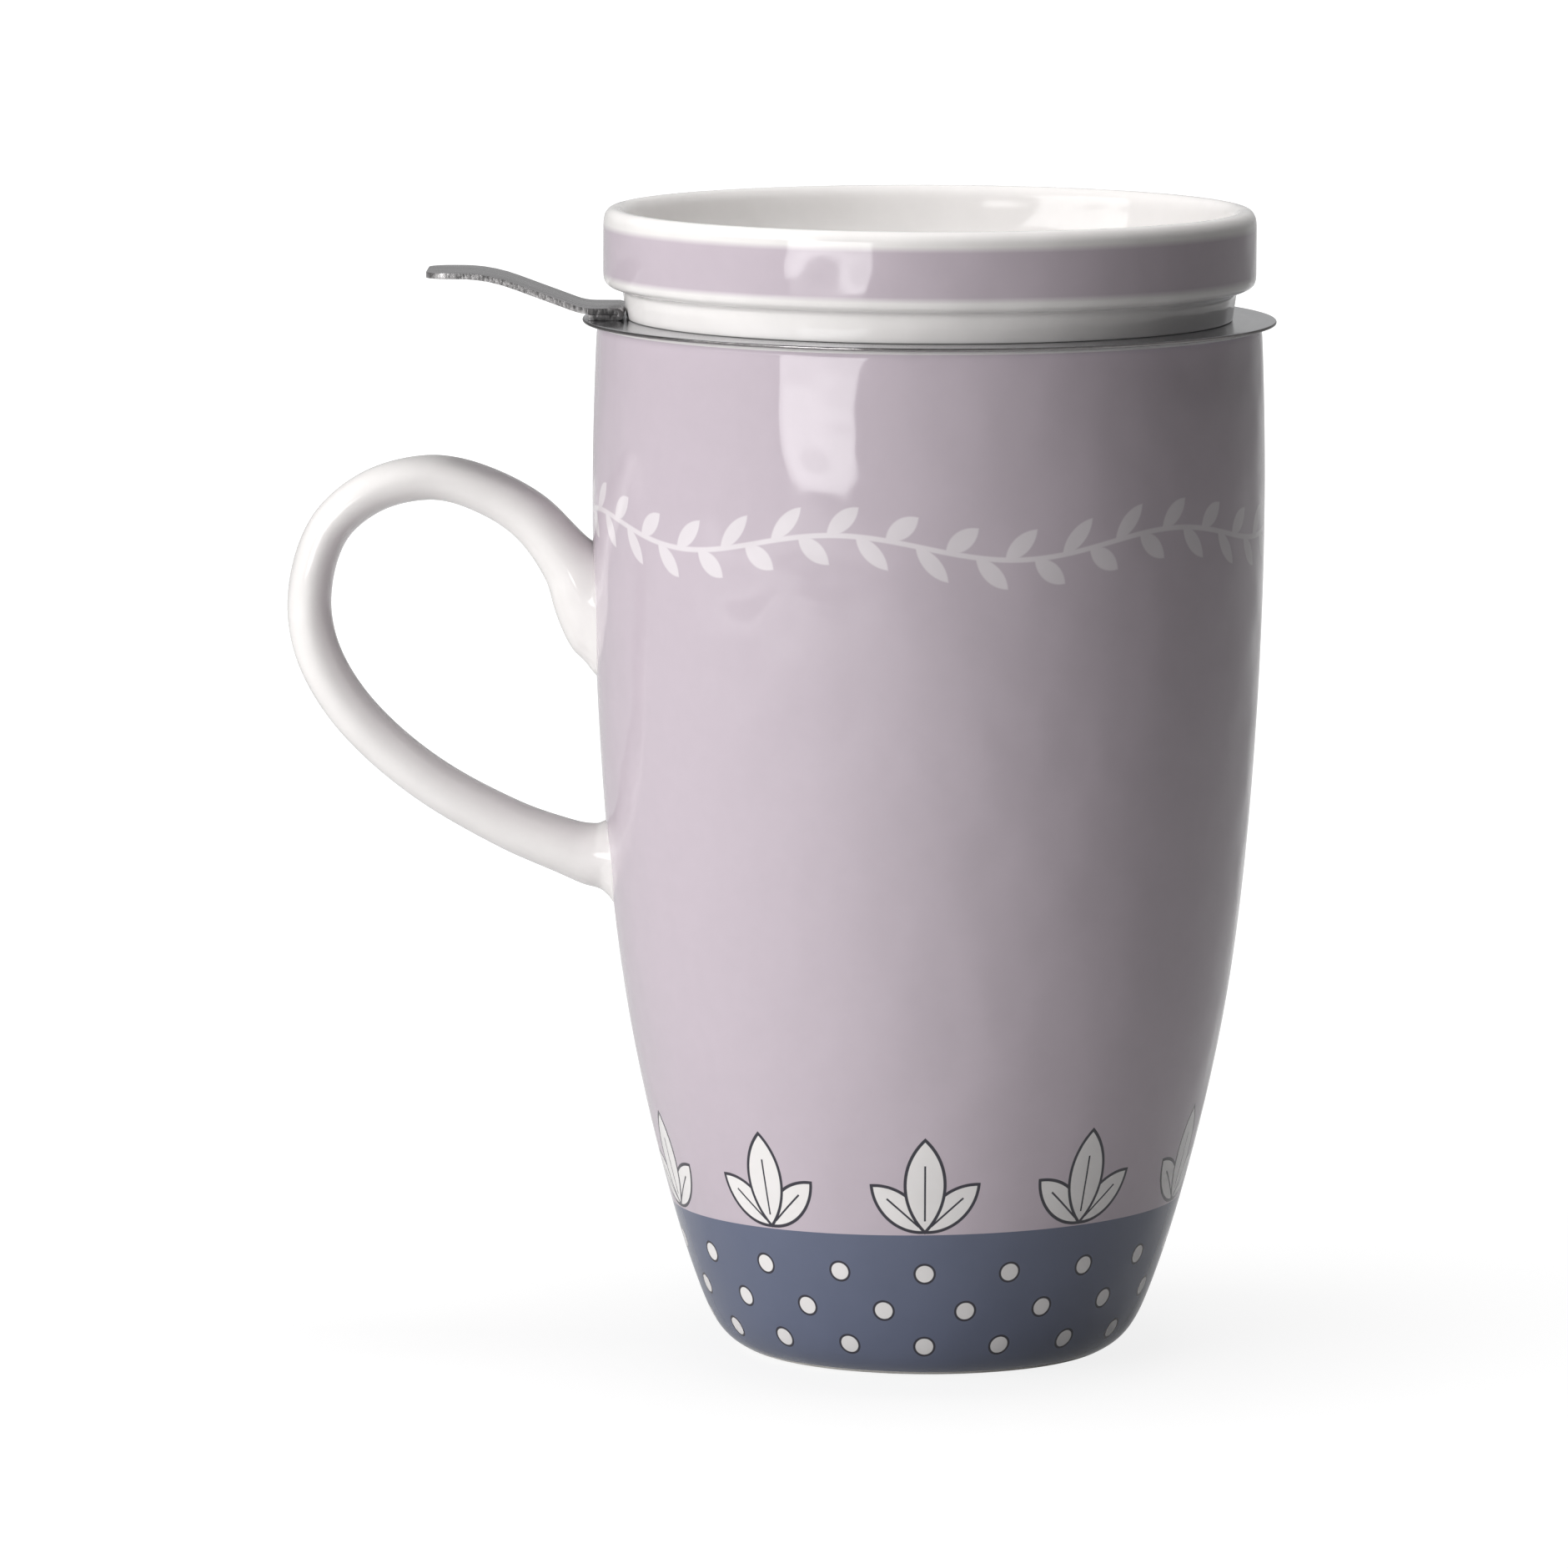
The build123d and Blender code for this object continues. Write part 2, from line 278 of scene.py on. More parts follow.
SPRIG_RADIUS = 35.8       # the wall's radius where the sprigs stand
SPRIG_LIFT = 0.4          # gap between the band and the sprigs
LEAF_LENGTH, LEAF_WIDTH = 12.5, 5.2
SIDE_LEAF_LENGTH, SIDE_LEAF_WIDTH, SIDE_LEAN = 9.5, 4.0, radians(48)
OUTLINE = 0.42
VEIN_HALF_WIDTH = 0.13
VEIN_MIDDLE, VEIN_REACH = 0.42, 0.3       # shares of the leaf's length
GARLAND_HEIGHT, GARLAND_SWING, GARLAND_WAVES = 110.0, 1.5, 6
GARLAND_RADIUS = 43.9
GARLAND_STEM = 0.33       # half the stem's width
GARLAND_LEAVES = 36       # on each side of the stem
GARLAND_LEAF_LENGTH, GARLAND_LEAF_WIDTH, GARLAND_LEAN = 5.6, 2.3, radians(48)
GARLAND_LEAF_START = 1.6  # a leaf starts this far before its cell's middle
PRINT_EDGE = 0.22         # softness of the thin print's edge


def cell_offset(tree, angle, count, radius, shift=0.0):
    """Distance round the wall from the middle of the nearest of evenly spaced cells."""
    turns = calc(tree, "MULTIPLY_ADD", angle, count / (2 * pi), shift)
    within = calc(tree, "FRACT", turns)
    return calc(tree, "MULTIPLY", calc(tree, "SUBTRACT", within, 0.5), 2 * pi * radius / count)


def leaf(tree, across, along, length, width):
    """Signed distance to a pointed leaf that starts at the origin and runs along."""
    reach = (length ** 2 + width ** 2) / (4 * width)
    sideways = calc(tree, "ADD", calc(tree, "ABSOLUTE", across), reach - width / 2)
    lengthways = calc(tree, "SUBTRACT", along, length / 2)
    return calc(tree, "SUBTRACT", length_of(tree, sideways, lengthways), reach)


def leaned(tree, across, along, lean):
    """Coordinates turned so that the second axis leans towards the first."""
    def mixed(operation, across_share, along_share):
        first = calc(tree, "MULTIPLY", across, across_share)
        return calc(tree, operation, first, calc(tree, "MULTIPLY", along, along_share))

    return mixed("SUBTRACT", cos(lean), sin(lean)), mixed("ADD", sin(lean), cos(lean))


def inked_leaf(tree, colour, across, along, length, width):
    """A white leaf with an ink outline and a vein, over a colour."""
    distance = leaf(tree, across, along, length, width)
    inked = inside_of(tree, calc(tree, "SUBTRACT", distance, OUTLINE / 2))
    white = inside_of(tree, calc(tree, "ADD", distance, OUTLINE / 2))
    past_ends = past_strip(
        tree, calc(tree, "SUBTRACT", along, VEIN_MIDDLE * length), VEIN_REACH * length
    )
    vein = calc(tree, "MAXIMUM", past_strip(tree, across, VEIN_HALF_WIDTH), past_ends)
    colour = blend_colour(tree, inked, colour, INK)
    colour = blend_colour(tree, white, colour, WHITE)
    return blend_colour(tree, inside_of(tree, vein), colour, INK)


def add_dots(tree, colour, z, angle):
    """Rows of white dots with an ink ring, round the slate band."""
    for height, radius, shift in DOT_ROWS:
        across = cell_offset(tree, angle, DOTS_AROUND, radius, shift)
        distance = length_of(tree, across, calc(tree, "SUBTRACT", z, height))
        for reach, ink in ((DOT_RADIUS, INK), (DOT_RADIUS - DOT_RING, WHITE)):
            disc = inside_of(tree, calc(tree, "SUBTRACT", distance, reach))
            colour = blend_colour(tree, disc, colour, ink)
    return colour


def add_sprigs(tree, colour, above, angle):
    """A row of three-leaved sprigs that stand on the slate band."""
    across = cell_offset(tree, angle, SPRIGS_AROUND, SPRIG_RADIUS)
    along = calc(tree, "SUBTRACT", above, SPRIG_LIFT)
    side = leaned(tree, calc(tree, "ABSOLUTE", across), along, SIDE_LEAN)
    colour = inked_leaf(tree, colour, *side, SIDE_LEAF_LENGTH, SIDE_LEAF_WIDTH)
    return inked_leaf(tree, colour, across, along, LEAF_LENGTH, LEAF_WIDTH)


def add_garland(tree, colour, z, angle):
    """A waving stem with leaves above and below it in turn."""
    swing = calc(tree, "SINE", calc(tree, "MULTIPLY", angle, GARLAND_WAVES))
    stem_height = calc(tree, "MULTIPLY_ADD", swing, GARLAND_SWING, GARLAND_HEIGHT)
    from_stem = calc(tree, "SUBTRACT", z, stem_height)
    stem = inside_of(tree, past_strip(tree, from_stem, GARLAND_STEM), PRINT_EDGE)
    colour = blend_colour(tree, stem, colour, PALE_LILAC)
    for shift, way in ((0.0, 1), (0.5, -1)):
        across = cell_offset(tree, angle, GARLAND_LEAVES, GARLAND_RADIUS, shift)
        across = calc(tree, "ADD", across, GARLAND_LEAF_START)
        leaf_axes = leaned(tree, across, calc(tree, "MULTIPLY", from_stem, way), GARLAND_LEAN)
        distance = leaf(tree, *leaf_axes, GARLAND_LEAF_LENGTH, GARLAND_LEAF_WIDTH)
        colour = blend_colour(tree, inside_of(tree, distance, PRINT_EDGE), colour, PALE_LILAC)
    return colour


def beaker_colours(tree, place, x, y, z, angle):
    """Lilac ground, slate band with dots, a row of leaf sprigs above it and a pale garland."""
    band_top = calc(tree, "MULTIPLY_ADD", x, BAND_SLOPE, BAND_TOP)
    above = calc(tree, "SUBTRACT", z, band_top)
    colour = blend_colour(tree, inside_of(tree, above), LILAC, SLATE)
    colour = add_dots(tree, colour, z, angle)
    colour = add_sprigs(tree, colour, above, angle)
    return add_garland(tree, colour, z, angle)


def white_colours(tree, place, x, y, z, angle):
    """Milky white that pools a little warmer and greyer in places."""
    pooled = calc(tree, "MULTIPLY", noise(tree, place, POOLS, 2), POOLING)
    return blend_colour(tree, pooled, WHITE, POOLED_WHITE)


BISQUE_DARK, BISQUE_LIGHT = (0.70, 0.67, 0.63), (0.80, 0.78, 0.75)
BISQUE_ROUGHNESS = 0.62
GRAINS, GRAIN_STRENGTH, GRAIN_DEPTH = 2600, 0.3, 0.0001


def bisque(name):
    """Unglazed porcelain, sanded smooth where it stands on the table."""
    material, tree, shader = new_material(name)
    grain = noise(tree, object_place(tree)[0], GRAINS, 2)
    colour = blend_colour(tree, grain, BISQUE_DARK, BISQUE_LIGHT)
    tree.links.new(colour, shader.inputs["Base Color"])
    shader.inputs["Roughness"].default_value = BISQUE_ROUGHNESS
    emboss(tree, shader, grain, GRAIN_STRENGTH, GRAIN_DEPTH)
    return material


LIP_EDGE = 134.6          # height on the lip above which the glaze is white
HOLLOW_TOP = 3.0          # height that parts the foot's underside from the bowl
HOLLOW_RADIUS = 20.0      # the hollow under the foot is white
BARE_RADIUS = 19.8        # inner radius of the bare ring
BARE_EDGE = 0.6           # glaze is wiped off up to this height


def glazed_white(centre, normal):
    """The bowl with the lip's top, and the hollow under the foot."""
    faces_in = normal.x * centre.x + normal.y * centre.y < 0 or normal.z > 0.9
    in_bowl = centre.z > HOLLOW_TOP * MM and faces_in
    return in_bowl or centre.z > LIP_EDGE * MM or from_axis(centre) < HOLLOW_RADIUS * MM


def left_bare(centre, normal):
    """The ring that the beaker stands on."""
    return centre.z < BARE_EDGE * MM and from_axis(centre) > BARE_RADIUS * MM


beaker = turn_up("beaker", FOOT_LINE + OUTER_LINE + LIP_LINE + INNER_LINE)
white_glaze = glaze("white_glaze", white_colours)
for finish in (glaze("decorated_glaze", beaker_colours), white_glaze, bisque("bare_foot")):
    beaker.data.materials.append(finish)
paint_faces(beaker, 1, glazed_white)
paint_faces(beaker, 2, left_bare)
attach(beaker, "mug")
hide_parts("mug_body")

# ---- mug handle ---------------------------------------------------------------------------
# A cast porcelain loop, luted to the wall with slip at both ends and glazed white all over.
# It swings down along the wall to its upper joint and runs nearly square into the lower one.
ARM_AROUND = 32
ARM_STEPS = 5             # rings from one station to the next
ROTATE_SIGN = -1          # without a window, rotate turns against the axis
# stations from the upper joint to the lower: distance from the axis, height, the section's lean
# from outwards (degrees, up is positive), its thickness in the loop's plane and its width
ARM_LINE = [
    (41.0, 96.6, 0, 18.6, 12.6),
    (42.6, 97.0, 3, 17.8, 12.4),
    (43.6, 98.0, 10, 15.6, 12.0),
    (44.4, 98.8, 18, 14.3, 11.6),
    (45.8, 101.0, 30, 11.1, 11.0),
    (47.3, 103.8, 43, 7.9, 10.2),
    (52.38, 109.6, 38, 6.6, 9.4),
    (59.58, 113.4, 17, 6.1, 9.0),
    (65.7, 114.4, -4, 5.9, 9.0),
    (73.02, 112.4, -29, 5.7, 9.0),
    (78.62, 107.3, -58, 5.6, 9.0),
    (81.0, 98.62, -86, 5.8, 9.0),
    (79.62, 90.6, -112, 6.0, 9.0),
    (74.5, 82.6, -131, 6.1, 9.1),
    (65.7, 74.9, -144.5, 6.2, 9.3),
    (54.9, 68.8, -156.2, 6.6, 9.8),
    (47.1, 65.75, -161.5, 7.3, 10.6),
    (44.2, 64.9, -167, 8.2, 11.2),
    (42.6, 64.75, -177, 9.0, 11.7),
    (41.7, 64.4, -180, 10.2, 12.2),
    (41.0, 64.2, -180, 11.6, 12.6),
    (40.0, 64.2, -180, 11.8, 12.6),
]


def between(line, number, share):
    """Values a share of the way from one station to the next, on a smooth curve through them."""
    def gap(first):
        a, b = line[first], line[first + 1]
        return hypot(b[0] - a[0], b[1] - a[1])

    def slope(at, column):
        before, after = max(at - 1, 0), min(at + 1, len(line) - 1)
        run = sum(gap(first) for first in range(before, after))
        return (line[after][column] - line[before][column]) / run

    run = gap(number)
    values = []
    for column, (low, high) in enumerate(zip(line[number], line[number + 1])):
        start, end = slope(number, column) * run, slope(number + 1, column) * run
        cubic = (2 * low - 2 * high + start + end) * share ** 3
        square = (3 * high - 3 * low - 2 * start - end) * share ** 2
        values.append(cubic + square + start * share + low)
    return values


def at_left(out, height):
    """The point at a distance from the axis towards the handles, and at a height."""
    return Vector((-out, 0, height)) * MM


def draw_on(place, next_place, turn):
    """Extrudes the selected end of a rod or strip to its next place and turns it there."""
    bpy.ops.mesh.extrude_region_move(TRANSFORM_OT_translate={"value": next_place - place})
    bpy.ops.transform.rotate(
        value=ROTATE_SIGN * radians(turn), orient_axis="Y", center_override=next_place
    )


def draw_arm(name, line):
    """A rod drawn along its line ring by ring, each ring turned and sized as it goes."""
    bpy.ops.object.select_all(action="DESELECT")
    out, height, heading, thickness, width = line[0]
    bpy.ops.mesh.primitive_circle_add(
        vertices=ARM_AROUND, radius=0.5 * MM, fill_type="NGON", rotation=(0, radians(-90), 0)
    )
    piece = bpy.context.active_object
    piece.name = piece.data.name = name
    bpy.ops.object.transform_apply(rotation=True)
    bpy.ops.object.mode_set(mode="EDIT")
    bpy.ops.mesh.select_all(action="SELECT")
    place = at_left(out, height)
    bpy.ops.transform.translate(value=place)
    bpy.ops.transform.resize(value=(thickness, width, thickness), center_override=place)
    steps = [
        between(line, station, step / ARM_STEPS)
        for station in range(len(line) - 1) for step in range(1, ARM_STEPS + 1)
    ]
    for out, height, next_heading, next_thickness, next_width in steps:
        next_place = at_left(out, height)
        draw_on(place, next_place, next_heading - heading)
        growth = next_thickness / thickness
        bpy.ops.transform.resize(
            value=(growth, next_width / width, growth), center_override=next_place
        )
        place, heading, thickness, width = next_place, next_heading, next_thickness, next_width
    leave_facing_out()
    return piece


handle_arm = draw_arm("handle_loop", ARM_LINE)
soften(handle_arm)
handle_arm.data.materials.append(white_glaze)
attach(handle_arm, "mug")
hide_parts("mug_handle")

# ---- infuser rim --------------------------------------------------------------------------
# A flat stainless flange with a short drawn neck, pressed in one piece from 0.5 mm sheet and
# brushed round and round on its upper face. Its cut edge is darker and less even.
RIM_LINE = [              # from the neck's lower end round the section and back
    (37.5, 129.1), (37.5, 129.6), (37.5, 133.6), (37.55, 134.35), (37.75, 134.87), (38.3, 135.1),
    (39.2, 135.1), (44.6, 135.1), (45.1, 135.12), (45.22, 135.2), (45.25, 135.35), (45.22, 135.5),
    (45.1, 135.58), (44.6, 135.6), (39.0, 135.6), (38.2, 135.58), (37.5, 135.3), (37.1, 134.8),
    (37.0, 134.2), (37.0, 129.6), (37.0, 129.1),
]
CUT_EDGE = 45.1           # radius beyond which the flange's cut edge begins
WELD = 2e-6               # metres; points closer than this become one
RIM_TONE = (0.60, 0.605, 0.63)
RIM_EDGE_TONE = (0.30, 0.29, 0.29)
STROKES_ACROSS = 9.0      # brush strokes round the axis: waves to a millimetre across them
STROKES_ALONG = 3.0       # and waves to a radian along them
STROKE_LOW, STROKE_HIGH = 0.3, 0.7        # range of the noise that is spread from 0 to 1
STROKE_ROUGHNESS = 0.10   # how much roughness differs from stroke to stroke
CLOUDS, CLOUDING = 160, 0.10              # waves to a metre and spread of the lightness


def steel(name, tone, roughness, stretch=None, contrast=0.22, depth=0.01, at_edge=0.5):
    """Stainless sheet with fine brushing: stretched along an axis, or else round the mug's."""
    material, tree, shader = new_material(name)
    shader.inputs["Metallic"].default_value = 1.0
    shader.inputs["Specular Tint"].default_value = (at_edge, at_edge, at_edge, 1)
    place, x, y, z, angle = object_place(tree)
    if stretch:
        strokes = noise(tree, place, 1.0, 3, stretch)
    else:
        ring = tree.nodes.new("ShaderNodeCombineXYZ")
        ring_parts = (
            (length_of(tree, x, y), STROKES_ACROSS), (angle, STROKES_ALONG), (z, STROKES_ACROSS)
        )
        for socket, (value, waves) in zip(ring.inputs, ring_parts):
            tree.links.new(calc(tree, "MULTIPLY", value, waves), socket)
        strokes = noise(tree, ring.outputs[0], 1.0, 3)
    ramp = tree.nodes.new("ShaderNodeMapRange")
    tree.links.new(strokes, ramp.inputs["Value"])
    ramp.inputs["From Min"].default_value = STROKE_LOW
    ramp.inputs["From Max"].default_value = STROKE_HIGH
    strokes = ramp.outputs[0]
    stroke_shade = calc(tree, "MULTIPLY", strokes, contrast)
    cloud_shade = calc(tree, "MULTIPLY", noise(tree, place, CLOUDS, 3), CLOUDING)
    darkest = 1 - CLOUDING / 2 - contrast / 2
    shade = calc(tree, "ADD", calc(tree, "ADD", stroke_shade, cloud_shade), darkest)
    tree.links.new(shaded(tree, tone, shade), shader.inputs["Base Color"])
    smoothest = roughness - STROKE_ROUGHNESS / 2
    gloss = calc(tree, "MULTIPLY_ADD", strokes, STROKE_ROUGHNESS, smoothest)
    tree.links.new(gloss, shader.inputs["Roughness"])
    emboss(tree, shader, strokes, 1.0, depth * MM)
    return material


infuser_rim = draw_rings("infuser_rim", [*RIM_LINE, RIM_LINE[0]], AROUND)
bpy.ops.mesh.select_all(action="SELECT")
bpy.ops.mesh.remove_doubles(threshold=WELD)
leave_facing_out()
soften(infuser_rim)
rim_steel = steel("rim_steel", RIM_TONE, 0.16, contrast=0.10, depth=0.005, at_edge=0.85)
rim_edge_steel = steel("rim_edge_steel", RIM_EDGE_TONE, 0.16, (700, 700, 5000), contrast=0.3)
infuser_rim.data.materials.append(rim_steel)
infuser_rim.data.materials.append(rim_edge_steel)
paint_faces(infuser_rim, 1, lambda centre, normal: from_axis(centre) > CUT_EDGE * MM)
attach(infuser_rim, "infuser")
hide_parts("strainer_rim")

# ---- infuser basket -----------------------------------------------------------------------
# A tapered sleeve of finely perforated sheet, rolled and seam-welded, butted to the rim's
# neck above and to a pressed, perforated pan below.
NECK_RADIUS, NECK_LOW = 37.5, 129.1
PAN_RADIUS, PAN_HIGH = 34.0, 56.1
SHEET = 0.5
HOLES_AROUND, HOLE_ROWS = 84, 26
PLAIN_EDGE = 4.0          # unpunched margin at each end
HOLE_INSET = 0.62         # sheet left between a hole and its cell's edge
BASKET_TONE = (0.50, 0.49, 0.48)
BASKET_ROUGHNESS = 0.30


def punch(piece, wanted):
    """Insets each wanted face by itself and takes its middle out."""
    bpy.ops.mesh.select_all(action="DESELECT")
    bpy.ops.object.mode_set(mode="OBJECT")
    for face in piece.data.polygons:
        face.select = wanted(face.center)
    bpy.ops.object.mode_set(mode="EDIT")
    bpy.ops.mesh.inset(thickness=HOLE_INSET * MM, use_individual=True)
    bpy.ops.mesh.delete(type="FACE")


def thicken(piece):
    """Gives a sheet its thickness, inwards from its outer face."""
    plate = piece.modifiers.new("sheet", "SOLIDIFY")
    plate.thickness = SHEET * MM
    plate.offset = -1
    bpy.ops.object.modifier_apply(modifier=plate.name)


def sleeve_radius(height):
    """Outer radius of the tapered sleeve."""
    return PAN_RADIUS + (NECK_RADIUS - PAN_RADIUS) * (height - PAN_HIGH) / (NECK_LOW - PAN_HIGH)


LOW_HOLE, HIGH_HOLE = PAN_HIGH + PLAIN_EDGE, NECK_LOW - PLAIN_EDGE
ROW = (NECK_LOW - PAN_HIGH - 2 * PLAIN_EDGE) / HOLE_ROWS
levels = [PAN_HIGH, *(LOW_HOLE + row * ROW for row in range(HOLE_ROWS + 1)), NECK_LOW]
basket_line = [(sleeve_radius(level), level) for level in levels]
basket = draw_rings("basket_wall", basket_line, HOLES_AROUND)
bpy.ops.mesh.select_mode(type="FACE")
punch(basket, lambda centre: LOW_HOLE * MM < centre.z < HIGH_HOLE * MM)
leave_facing_out()
soften(basket)
thicken(basket)
basket.data.materials.append(
    steel("basket_steel", BASKET_TONE, BASKET_ROUGHNESS, (400, 400, 30000))
)
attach(basket, "infuser")
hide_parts("strainer_wall")

# ---- infuser floor ------------------------------------------------------------------------
# A shallow pan pressed from the same sheet: a punched field, a plain border, a round corner
# and a short skirt that is butt-welded to the basket's sleeve.
PITCH = 2.6               # from hole to hole
FIELD_RADIUS = 24.5
CELLS = 2 * int(FIELD_RADIUS / PITCH) + 1
PAN_LINE = [              # from the border out and up to the skirt's edge
    (28.0, 51.1), (30.5, 51.1), (32.0, 51.1), (33.1, 51.38), (33.75, 52.1), (34.0, 53.2),
    (34.0, 55.6), (34.0, 56.1),
]
PAN_LOW = PAN_LINE[0][1]
bpy.ops.object.select_all(action="DESELECT")
bpy.ops.mesh.primitive_grid_add(
    x_subdivisions=CELLS, y_subdivisions=CELLS, size=CELLS * PITCH * MM,
    location=(0, 0, PAN_LOW * MM)
)
pan = bpy.context.active_object
pan.name = pan.data.name = "basket_floor"
bpy.ops.object.transform_apply(location=True)
for face in pan.data.polygons:
    face.select = from_axis(face.center) > FIELD_RADIUS * MM
bpy.ops.object.mode_set(mode="EDIT")
bpy.ops.mesh.select_mode(type="FACE")
bpy.ops.mesh.delete(type="FACE")
# the field's stepped outline is drawn out to a circle, which then grows to the border
bpy.ops.mesh.select_all(action="SELECT")
bpy.ops.mesh.region_to_loop()
bpy.ops.mesh.select_mode(type="EDGE")
bpy.ops.mesh.extrude_edges_move(TRANSFORM_OT_translate={"value": (0, 0, 0)})
bpy.ops.transform.tosphere(value=1.0)
bpy.ops.object.mode_set(mode="OBJECT")
circle_radius = max(from_axis(point.co) for point in pan.data.vertices if point.select) / MM
bpy.ops.object.mode_set(mode="EDIT")
growth = PAN_LINE[0][0] / circle_radius
bpy.ops.transform.resize(value=(growth, growth, 1), center_override=(0, 0, PAN_LOW * MM))
grow_rings(PAN_LINE)


def in_field(centre):
    """Whether a face of the pan is a cell of its punched field."""
    return from_axis(centre) < FIELD_RADIUS * MM and centre.z < (PAN_LOW + 0.01) * MM


punch(pan, in_field)
leave_facing_out()
if sum(face.normal.z * face.area for face in pan.data.polygons) > 0:
    bpy.ops.object.mode_set(mode="EDIT")
    bpy.ops.mesh.flip_normals()
    bpy.ops.object.mode_set(mode="OBJECT")
soften(pan)
thicken(pan)
pan.data.materials.append(steel("pan_steel", BASKET_TONE, BASKET_ROUGHNESS, (9000, 500, 500)))
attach(pan, "infuser")
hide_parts("strainer_floor")

# ---- infuser handle -----------------------------------------------------------------------
# A bent strip of 0.8 mm stainless. Its inner end is folded back under itself and spot-welded on
# the flange beside the lid's collar; it rises in a soft S to a level finger rest.
STRIP_WIDTH = 14.0
STRIP_THICKNESS = 0.76
STRIP_START = (44.3, 136.0)               # the folded end, which lies on the flange
STRIP_STUB = 1.0                          # length of the block that the strip is drawn on from
STRIP_LINE = [            # distance from the axis, height of the middle line, heading in degrees
    (40.45, 136.00, 180), (40.25, 136.055, 150), (40.105, 136.20, 120), (40.05, 136.40, 90),
    (40.105, 136.60, 60), (40.25, 136.745, 30), (40.45, 136.80, 0), (42.2, 136.80, 0),
    (43.6, 136.80, 0), (44.3, 136.83, 5), (45.0, 136.92, 10), (45.65, 137.06, 15),
    (46.3, 137.27, 20), (48.8, 138.18, 20), (51.4, 139.12, 20), (53.9, 140.03, 20),
    (55.4, 140.52, 16), (56.9, 140.89, 12), (58.4, 141.14, 7.6), (59.8, 141.27, 3.6),
    (60.9, 141.3, 0), (62.2, 141.3, 0), (65.45, 141.3, 0),
]
TIP_CORNER, CORNER_STEPS = 3.0, 8
BROKEN_EDGE, BROKEN_STEPS = 0.14, 3
SHEARED = 0.6             # faces that point this far sideways are sheared edges
FOLD_OUT = 44.6           # the doubled end reaches this far from the axis
STRIP_TONE = (0.50, 0.49, 0.50)
SHEARED_TONE = (0.40, 0.39, 0.39)
# painted shade: a much darker tone on the folded end's sheared sides stands in for the shadow under
# the strip beside the flange
FOLD_PAINTED_SHADE_TONE = (0.17, 0.165, 0.165)
bpy.ops.object.select_all(action="DESELECT")
bpy.ops.mesh.primitive_cube_add(size=1, location=(0, 0, 0))
strip = bpy.context.active_object
strip.name = strip.data.name = "infuser_handle"
bpy.ops.object.mode_set(mode="EDIT")
bpy.ops.mesh.select_all(action="SELECT")
bpy.ops.transform.resize(value=(STRIP_STUB * MM, STRIP_WIDTH * MM, STRIP_THICKNESS * MM))
bpy.ops.transform.translate(value=at_left(STRIP_START[0] - STRIP_STUB / 2, STRIP_START[1]))
bpy.ops.mesh.select_mode(type="FACE")
bpy.ops.mesh.select_all(action="DESELECT")
bpy.ops.object.mode_set(mode="OBJECT")
for face in strip.data.polygons:
    face.select = face.normal.x > 0.9
bpy.ops.object.mode_set(mode="EDIT")
place, heading = at_left(STRIP_START[0] - STRIP_STUB, STRIP_START[1]), 180
for out, height, next_heading in STRIP_LINE:
    next_place = at_left(out, height)
    draw_on(place, next_place, next_heading - heading)
    place, heading = next_place, next_heading
bpy.ops.mesh.select_all(action="DESELECT")
bpy.ops.object.mode_set(mode="OBJECT")
TIP = -(STRIP_LINE[-1][0] - 0.1) * MM     # only the strip's outer end lies beyond this
for edge in strip.data.edges:
    ends = [strip.data.vertices[number].co for number in edge.vertices]
    upright = abs(ends[0].y - ends[1].y) < WELD
    edge.select = upright and all(end.x < TIP for end in ends)
bpy.ops.object.mode_set(mode="EDIT")
bpy.ops.mesh.select_mode(type="EDGE")
bpy.ops.mesh.bevel(offset=TIP_CORNER * MM, segments=CORNER_STEPS)
bpy.ops.object.mode_set(mode="OBJECT")
pick(strip)
broken = strip.modifiers.new("broken_edges", "BEVEL")
broken.width = BROKEN_EDGE * MM
broken.segments = BROKEN_STEPS
broken.limit_method = "ANGLE"
broken.angle_limit = radians(40)
bpy.ops.object.modifier_apply(modifier=broken.name)
bpy.ops.object.mode_set(mode="EDIT")
bpy.ops.mesh.select_all(action="SELECT")
bpy.ops.mesh.remove_doubles(threshold=WELD)
bpy.ops.mesh.dissolve_degenerate(threshold=WELD)
leave_facing_out()
bpy.ops.object.shade_smooth_by_angle(angle=radians(35))
for finish in (
    steel("strip_steel", STRIP_TONE, 0.24, (90, 1900, 90), contrast=0.8, depth=0.03, at_edge=0.8),
    steel("sheared_steel", SHEARED_TONE, 0.40, (2200, 900, 1300), contrast=1.1, depth=0.03),
    steel("folded_end_painted_shade", FOLD_PAINTED_SHADE_TONE, 0.36, (1500, 900, 900), contrast=1.2, depth=0.03),
):
    strip.data.materials.append(finish)
paint_faces(strip, 1, lambda centre, normal: abs(normal.y) > SHEARED)
# the sheared sides at the folded end get the darker tone, which is painted shade for the shadow
# under the strip
paint_faces(
    strip, 2, lambda centre, normal: abs(normal.y) > SHEARED and centre.x > -FOLD_OUT * MM
)
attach(strip, "infuser")
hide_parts("strainer_handle")

